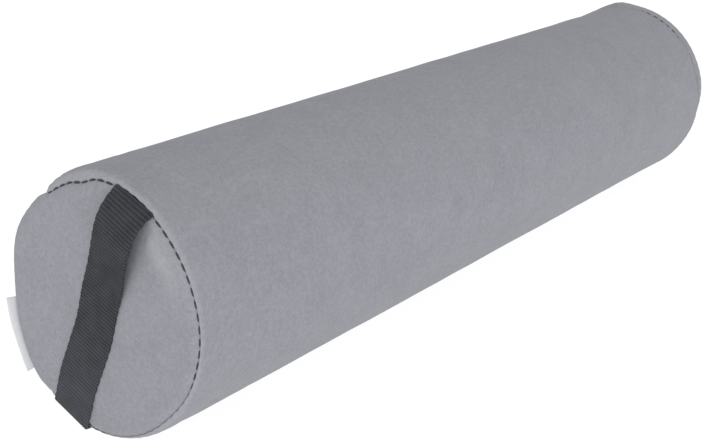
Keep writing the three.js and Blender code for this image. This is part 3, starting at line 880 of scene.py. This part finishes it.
def seam_stitches(side):
    """The lines of the stitches in one end's seam, with the way that each faces."""
    lines, outwards = [], []
    for count in range(stitch_count):
        middle = (count + 0.5) * stitch_turn
        if side < 0 and covered(middle):
            continue
        bar = np.linspace(-1, 1, 9)
        angle = middle + stitch_turn * stitch_share / 2 * bar
        dive = bar ** 4 * thread_dive + sinking(side, angle)
        share = over_share(side, angle)
        reach, radius = thread_at * (1 - share) + thread_at_over * share
        x = side * (half_length + reach - dive * (1 - share))
        lines.append(settled(x, angle, radius - dive * share))
        facing = np.stack([side * (1 - share), -np.sin(angle) * share, np.cos(angle) * share], -1)
        outwards.append(unit(facing))
    return lines, outwards


stitch_tubes("near_seam_thread", *seam_stitches(-1), thread_radius)
stitch_tubes("far_seam_thread", *seam_stitches(1), thread_radius)

# %% [markdown]
# The carry handle. A strap of coarse ribbed webbing, caught in the near seam at both ends
# and slack between them, so that a hand goes under it near the top. Its ribs cross it every
# two millimetres and its edges are scalloped where the weft turns back. All of that is
# shape: a strip along the handle's curve, with the weave added to its thickness. The strip
# also carries a map that counts ribs along it and yarns across it, so that the finish can
# paint shade into the grooves between the ribs and the yarns exactly where they are.

# %% Webbing finish
# Between these ribs the strap's colour is painted lighter towards its lower end, as painted light where
# that part catches more light.
painted_light_from_rib = 40
painted_light_to_rib = 70


def webbing_finish():
    finish = Finish("dark_webbing")
    weave = finish.node("TexCoord", output=2)
    count = finish.node("SeparateXYZ", {}, {"Vector": weave})
    over = Signal(finish, count.socket.node.outputs["Y"])
    row = finish.node("Math", {"operation": "FLOOR"}, {0: count})
    # Painted shade: the colour darkens into the grooves between the ribs and the dips between the yarns.
    rib = 2 * finish.node("Math", {"operation": "PINGPONG"}, {0: count, 1: 0.5})
    yarn = 1 - 2 * finish.node("Math", {"operation": "PINGPONG"}, {0: over + row * 0.5, 1: 0.5})
    fuzz = finish.noise(0.8 * mm, detail=3.0, roughness=0.6)
    patch = finish.noise(9 * mm)
    # Painted light: the base tone ramps up from rib 40 to rib 70, so the strap's lower part reads lighter.
    tone_with_painted_light = finish.node("MapRange", {"interpolation_type": "SMOOTHSTEP"}, {
        "Value": count, "From Min": painted_light_from_rib, "From Max": painted_light_to_rib, "To Min": 0.36, "To Max": 0.6})
    tone = (rib - 0.5) * 0.4 + (yarn - 0.5) * 0.5 * rib + (fuzz - 0.5) * 0.6 + (patch - 0.5) * 0.5 + tone_with_painted_light
    colour = finish.mixed(finish.clamped(tone), (36, 37, 41), (82, 84, 90))
    return finish.done(Base_Color=colour, Roughness=0.85, Normal=finish.bump(fuzz, 0.08 * mm, 0.4),
                       Specular_IOR_Level=0.25)


webbing = webbing_finish()
print("made", webbing.name)

# %% Line and section of the handle
handle_half_thickness = 0.8 * mm
handle_tail = 9 * mm
handle_twist = 0.7 * mm
handle_stand_off = 9.7 * mm
handle_bend = 2.4 * mm
groove_depth = 1.2 * mm
rim_crown = 1.5 * mm
rib_pitch = 2.15 * mm
rib_height = 0.42 * mm
steps_per_rib = 7
yarn_pitch = 1.3 * mm
scallop_pitch = 5.9 * mm
scallop_depth = 0.4 * mm
scallop_width = 3 * mm
scallop_mean_share, rib_mean_share = 0.7, 0.6
rib_bluntness = 0.7
yarn_share = 0.3
handle_course_shares = [
    (0.887, 0.54), (0.84, 0.76), (0.787, 0.92), (0.72, 1.00), (0.653, 0.99),
    (0.573, 0.91), (0.48, 0.78), (0.373, 0.61), (0.267, 0.46), (0.15, 0.36),
    (0, 0.30), (-0.19, 0.29), (-0.4, 0.29), (-0.64, 0.29), (-0.85, 0.30),
]


def handle_course():
    """The handle's middle line as places along the diameter and heights off the end."""
    ends = []
    for turn, side in ((0, 1), (math.pi, -1)):
        seam = float(near_seam_at(handle_angle + turn))
        bends = [(seam, -handle_tail), (seam, -groove_depth)]
        for degrees in (0, 30, 60):
            bend = math.radians(degrees)
            bends.append((seam - handle_bend * (1 - math.cos(bend)),
                          rim_crown - handle_bend / 2 + handle_bend * math.sin(bend)))
        ends.append([(side * along, height) for along, height in bends])
    middle = [(along * roll_radius, height * handle_stand_off) for along, height in handle_course_shares]
    return curve_through(ends[0] + middle + ends[1][::-1], 60)


def spaced_evenly(line, step):
    """The same line with its points an even step apart, and each one's distance along it."""
    lengths = np.concatenate([[0], np.cumsum(np.linalg.norm(np.diff(line, axis=0), axis=1))])
    places = np.linspace(0, lengths[-1], round(lengths[-1] / step) + 1)
    return np.stack([np.interp(places, lengths, column) for column in line.T], -1), places


def strap_section(half_width, half_thickness, flats, rounds):
    """A strap's section: across and up at each point, round a flat loop with round edges."""
    flat = np.linspace(-1, 1, flats) * (half_width - half_thickness)
    turn = np.linspace(0, math.pi, rounds + 2)[1:-1]
    top = np.stack([flat[::-1], np.full(flats, half_thickness)], -1)
    round_across = -half_width + half_thickness - half_thickness * np.sin(turn)
    left = np.stack([round_across, half_thickness * np.cos(turn)], -1)
    return np.concatenate([top, left, -top, -left])


print("the handle's line has", len(handle_course()), "points")

# %% Carry handle
def make_handle():
    line, places = spaced_evenly(handle_course(), rib_pitch / steps_per_rib)
    run = unit(np.gradient(line, axis=0))
    section = strap_section(handle_half_width, handle_half_thickness, 48, 4)
    side, rise = section[None, :, 0], section[None, :, 1]
    facing = np.clip(rise / handle_half_thickness, -1, 1)
    counted = np.broadcast_arrays(places[:, None] / rib_pitch, side / yarn_pitch)
    counted = np.stack(counted, -1).reshape(-1, 2)
    rib = np.abs(np.sin(math.pi * places / rib_pitch)) ** rib_bluntness - rib_mean_share
    index = np.floor(places / rib_pitch)
    yarn = np.cos(full_turn * side / yarn_pitch + math.pi * index[:, None])
    weave = rib_height * rib[:, None] * (1 + yarn_share * yarn)
    edge = smooth((np.abs(side) - handle_half_width) / scallop_width + 1)
    wave = np.abs(np.cos(math.pi * places / scallop_pitch))[:, None] - scallop_mean_share
    side = side + scallop_depth * wave * edge * np.sign(side)
    rise = rise + weave * facing
    slack = np.clip((line[:, 1] - handle_stand_off / 3) / (handle_stand_off / 3), 0, 1)[:, None]
    lift = line[:, 1:2] - rise * run[:, 0:1] + slack * handle_twist * side / handle_half_width
    spot = line[:, 0:1] + rise * run[:, 1:2]
    side = side + handle_drift_at(line[:, 0:1])
    y, z = about_axis(handle_angle, -side, spot)
    x = -half_length - lift
    points = np.stack([x - lean_at(x, y, z), y, z + axis_height], -1)
    points[..., 2] = np.maximum(points[..., 2], floor_clearance)
    print("handle", round(places[-1] / mm), "mm long,", round(places[-1] / rib_pitch), "ribs")
    piece = piece_from("webbing_handle", points, closed_tube(*points.shape[:2]), webbing)
    corners = np.empty(len(piece.data.loops), dtype=int)
    piece.data.loops.foreach_get("vertex_index", corners)
    piece.data.uv_layers.new(name="weave").data.foreach_set("uv", counted[corners].ravel())
    return piece


handle = make_handle()
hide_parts("carry_handle")

# %% [markdown]
# The side label. A short length of white ribbon folded in half, with its two tails caught
# in the near seam where that has crept round the corner, so that the fold stands out past
# the panel's rim. It is left blank. Its section is a narrow loop, carried along the seam's
# curve. A ribbon doesn't stretch, so its fold keeps straighter than the seam does.

# %% Label
label_course = np.array([
    (-14, 71.7), (-9.5, 71.9), (-7.4, 72.8), (-6.7, 74.6), (-5.2, 76.4), (-2.4, 78.4), (1.3, 81.6),
]) * mm
label_half_thickness = 0.3 * mm
label_flatness = 1.9 * mm
label_sway = 0.5 * mm
label_fade = 5 * mm
label_rows = 36
ribbon = spotted_finish("white_ribbon", 0.35 * mm, (208, 210, 214), (230, 232, 235), 0.65,
                        relief=(0.05 * mm, 0.3))


def make_label():
    line = curve_through(label_course, 6)
    run = unit(np.gradient(line, axis=0))
    across = np.stack([-run[:, 1], run[:, 0]], -1) * label_half_thickness
    fold = line[-1:] + run[-1:] * label_half_thickness
    loop = np.concatenate([line + across, fold, (line - across)[::-1]])
    angle = np.linspace(label_first, label_last, label_rows)
    loose = smooth((loop[:, 1] - roll_radius) / label_fade)
    sway = label_sway * np.sin(np.linspace(0, 5, label_rows))[:, None] * loose
    flatter = label_flatness * (1 - np.linspace(-1, 1, label_rows) ** 2)[:, None] * loose
    points = settled(-half_length - loop[:, 0] - sway, angle[:, None], loop[:, 1] - flatter)
    faces = closed_tube(*points.shape[:2])
    return piece_from("blank_side_label", points, faces, ribbon)


label = make_label()
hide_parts("side_label")
print("label reaches out to a radius of", round(label_course[-1, 1] / mm, 1), "mm")

# %% [markdown]
# Foam and zip. The foam core is hidden by the cover, and shows only as a pale line if the
# zip is open. The zip's tapes are thin woven strips under the slot, and its teeth, stops,
# slider and tab are the CAD nodes themselves, with finishes of moulded plastic and metal.

# %% Foam and tape finishes
def foam_finish():
    finish = Finish("open_foam")
    cells = finish.node("TexVoronoi", {}, {"Vector": finish.place(), "Scale": 1 / (1.4 * mm)})
    colour = finish.mixed(cells, (206, 200, 182), (232, 227, 211))
    return finish.done(Base_Color=colour, Roughness=0.95, Normal=finish.bump(cells, 0.3 * mm, 0.6))


def tape_finish():
    finish = Finish("zip_tape_cloth")
    rib = finish.node("TexWave", {"bands_direction": "X"}, {
        "Vector": finish.place(), "Scale": 1 / (20 * 0.8 * mm), "Distortion": 0.4})
    weave = finish.noise(0.5 * mm)
    colour = finish.mixed(rib * 0.5 + weave * 0.5, (70, 72, 77), (96, 98, 104))
    return finish.done(Base_Color=colour, Roughness=0.9, Normal=finish.bump(rib + weave, 0.08 * mm))


foam = foam_finish()
tape_cloth = tape_finish()
print("made", foam.name, "and", tape_cloth.name)

# %% Foam core
foam_columns = 180
foam_rows = 60
foam_slack = 0.5 * mm
foam_floor = 1.2 * mm
plug_clearance = 2.85 * mm
tape_room, tape_room_half, tape_room_fade = 0.9 * mm, 19 * mm, 4 * mm
chain_room, chain_room_half, chain_room_fade = 4.3 * mm, 8 * mm, 2.5 * mm
zip_room_end = 5 * mm


def make_foam():
    angle = zip_angle + angles_round(foam_columns)
    wall = roll_radius - cover_thickness - most_pull - foam_slack
    plug = seam_radius - plug_clearance
    end = np.array([
        (-14, wall / mm), (-10.6, plug / mm + 1), (-10, plug / mm), (-4, plug / mm),
        (-1.6, plug / mm - 1), (-1.0, 60), (-0.8, 40), (-0.6, 2),
    ]) * mm
    section = curve_through(end, 4)
    length = half_length + end[0, 0] - 1 * mm
    along = np.linspace(-length, length, foam_rows)
    x = np.concatenate([-half_length - section[::-1, 0], along, half_length + section[:, 0]])
    radius = np.concatenate([section[::-1, 1], np.full(foam_rows, wall), section[:, 1]])[:, None]
    from_zip = np.abs(turned(angle, zip_angle)) * roll_radius
    room = tape_room * smooth((tape_room_half - from_zip) / tape_room_fade)
    room = room + chain_room * smooth((chain_room_half - from_zip) / chain_room_fade)
    in_length = smooth((x - slot_first) / zip_room_end + 1) * smooth((slot_last - x) / zip_room_end + 1)
    radius = radius - room * in_length[:, None]
    points = settled(x[:, None], angle[None, :], radius)
    points[..., 2] = np.maximum(points[..., 2], foam_floor)
    return piece_from("foam_block", points, closed_tube(*points.shape[:2]), foam)


foam_block = make_foam()
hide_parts("foam_core")
print("the foam has", len(foam_block.data.polygons), "faces")

# %% Zip tapes
tape_outside = 73.4 * mm
tape_from, tape_to = 3.4 * mm, 15 * mm
tape_thickness = 0.5 * mm
tape_cord_at = 14.3 * mm
tape_cord_half = 0.6 * mm
tape_cord_height = 0.16 * mm


def make_tape(name, side):
    first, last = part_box(name)[0].x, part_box(name)[1].x
    x = np.linspace(first, last, 240)
    across = np.linspace(tape_from, tape_to, 16) * side
    lift = tape_cord_height * (np.abs(np.abs(across) - tape_cord_at) < tape_cord_half)
    turn, outside = across / tape_outside, tape_outside + lift
    y, z = about_axis(zip_angle, outside * np.sin(turn), outside * np.cos(turn))
    points = np.stack(np.broadcast_arrays(x[:, None], y, z + axis_height), -1)
    faces = grid_faces(*points.shape[:2])
    if side < 0:
        faces = faces[:, ::-1]
    piece = piece_from(name + "_woven", points, faces, tape_cloth)
    thickened(piece, tape_thickness)
    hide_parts(name)


for tape_name, tape_side in (("zip_tape_upper", -1), ("zip_tape_lower", 1)):
    make_tape(tape_name, tape_side)

# %% [markdown]
# Zip plastic and metal. The teeth are moulded nylon with a slight sheen. The slider, its tab
# and the stops are enamelled metal, rubbed a little brighter in spots. Their shapes are the
# CAD nodes themselves, because a finer copy would show nothing more.

# %% Zip plastic and metal
zip_plastic = spotted_finish("zip_plastic", 1.5 * mm, (66, 67, 72), (82, 83, 88), 0.38, duller=0.15)
zip_metal = spotted_finish("enamelled_metal", 3 * mm, (98, 100, 105), (126, 128, 133), 0.3,
                           detail=4.0, duller=0.2, relief=(0.03 * mm, 0.15), Metallic=0.85)
for part_name, part in nodes.items():
    if part_name.startswith("zip_teeth"):
        part.material_slots[0].material = zip_plastic
    elif part_name.startswith("zip") and "tape" not in part_name:
        part.material_slots[0].material = zip_metal
print("finished", zip_plastic.name, "and", zip_metal.name)

# %% [markdown]
# Stitching beside the zip. The folded edges of the slot are sewn down to the tapes by one
# row of stitches on each side and a short row across each end. Their thread is pulled tight
# into the soft cloth, so each stitch follows the surface half sunk, with its ends diving in.

# %% Rows beside the zip
row_away = 4.2 * mm
row_pitch = 3.6 * mm
row_past_slot = 3 * mm
row_stitch_share = 0.68
row_lift = 0.05 * mm
row_dive = 0.5 * mm
row_thread_radius = 0.3 * mm


def zip_rows():
    half = slot_half * roll_radius + row_away
    first, last = slot_first - row_past_slot, slot_last + row_past_slot
    corners = [(first, -half), (last, -half), (last, half), (first, half), (first, -half)]
    lines, outwards = [], []
    for start, end in zip(corners, corners[1:]):
        start, end = np.array(start), np.array(end)
        count = round(np.linalg.norm(end - start) / row_pitch)
        for number in range(count):
            bar = np.linspace(-1, 1, 7)
            share = (number + 0.5 + row_stitch_share / 2 * bar) / count
            spot = start + (end - start) * share[:, None]
            angle = zip_angle - spot[:, 1] / roll_radius
            lines.append(settled(spot[:, 0], angle, roll_radius + row_lift - row_dive * bar ** 4))
            outwards.append(np.stack([np.zeros(7), -np.sin(angle), np.cos(angle)], -1))
    return lines, outwards


stitch_tubes("zip_row_thread", *zip_rows(), row_thread_radius)

# %% [markdown]
# The room. A white floor and a white surround, as for a catalogue picture: the camera sees
# them as plain white. The floor is a light table, which glows by itself, so that the roll's
# underside stays as bright as its front. Its lit surface is mixed in, which keeps a faint
# shadow of the roll.

# %% Floor and surround
def seen_directly(finish):
    """One where a camera, mirror or glass ray looks, and nought for light on the roll."""
    rays = finish.node("LightPath")
    outputs = rays.socket.node.outputs
    glossy = Signal(finish, outputs["Is Glossy Ray"])
    through = Signal(finish, outputs["Is Transmission Ray"])
    either = rays.sum_with("MAXIMUM", rays, glossy)
    return either.sum_with("MAXIMUM", either, through)


seen_glow = 0.85
table_glow = 0.65


def floor_finish():
    finish = Finish("white_floor")
    lit = finish.node("BsdfDiffuse", {}, {"Color": (0.94, 0.94, 0.94, 1)})
    white = finish.node("Emission", {}, {"Color": (1, 1, 1, 1), "Strength": 1.1})
    share = seen_directly(finish) * (seen_glow - table_glow) + table_glow
    finish.close(finish.node("MixShader", {}, {0: share, 1: lit, 2: white}))
    return finish.material


floor_half = 6.0
floor_mesh = bpy.data.meshes.new("floor")
corner_signs = ((-1, -1), (1, -1), (1, 1), (-1, 1))
floor_corners = [(floor_half * x, floor_half * y, 0) for x, y in corner_signs]
floor_mesh.from_pydata(floor_corners, [], [(0, 1, 2, 3)])
floor_mesh.materials.append(floor_finish())
floor = bpy.data.objects.new("floor", floor_mesh)
scene.collection.objects.link(floor)
print("the floor is", 2 * floor_half, "m across")


def white_world(strength):
    """A surround that the camera sees as plain white and that lights the roll by its strength."""
    surround = Finish("white_surround", bpy.data.worlds)
    rays = surround.node("LightPath")
    level = surround.node("Mix", {"data_type": "FLOAT"}, {0: rays, 2: strength, 3: 1.0})
    light = surround.node("Background", {}, {"Color": (1, 1, 1, 1), "Strength": level})
    surround.close(light, "OutputWorld")
    scene.world = surround.material


white_world(0.76)

# %% [markdown]
# The lamps. The surround gives most of the light. A broad lamp from the camera's left rounds
# the form, a second one faces the near end, and a small low one in front lights the side
# down to the floor. Their powers make the leatherette's grey render about as it is written.

# %% Lamps
def soft_lamp(name, place, target, size, power):
    lamp = bpy.data.lights.new(name, "AREA")
    lamp.shape = "DISK"
    lamp.size = size
    lamp.energy = power
    holder = bpy.data.objects.new(name, lamp)
    holder.location = place
    holder.rotation_euler = (Vector(target) - Vector(place)).to_track_quat("-Z", "Y").to_euler()
    scene.collection.objects.link(holder)


middle = (0, 0, axis_height)
soft_lamp("front_lamp", (-2.4, -2.9, 1.3), middle, 2.0, 20.5)
soft_lamp("end_lamp", (-3.9, -0.5, 0.5), middle, 1.5, 14.5)
soft_lamp("low_lamp", (-0.6, -3.2, 0.12), middle, 1.0, 9)
print("lamps made")

# %% [markdown]
# The camera. It stands where the photograph was taken from: low, to the left of the roll
# and in front of its handle end, with a long lens. The place and the angles were fitted
# once to the roll's outline and are kept here as plain numbers.

# %% Camera
camera_place = (-775.5 * mm, -484.3 * mm, 335.9 * mm)
camera_yaw = 0.62248
camera_pitch = 0.31918
focal_pixels = 1298.0
image_width = 702
camera_data = bpy.data.cameras.new("camera")
camera_data.sensor_width = 36
camera_data.lens = focal_pixels / image_width * camera_data.sensor_width
camera = bpy.data.objects.new("camera", camera_data)
camera.location = camera_place
looking = Vector((math.cos(camera_pitch) * math.cos(camera_yaw),
                  math.cos(camera_pitch) * math.sin(camera_yaw), -math.sin(camera_pitch)))
camera.rotation_euler = looking.to_track_quat("-Z", "Y").to_euler()
camera_data.clip_start = 0.01
camera_data.clip_end = 50
scene.collection.objects.link(camera)
scene.camera = camera
scene.view_settings.view_transform = "Standard"
print("lens", round(camera_data.lens, 2), "mm")
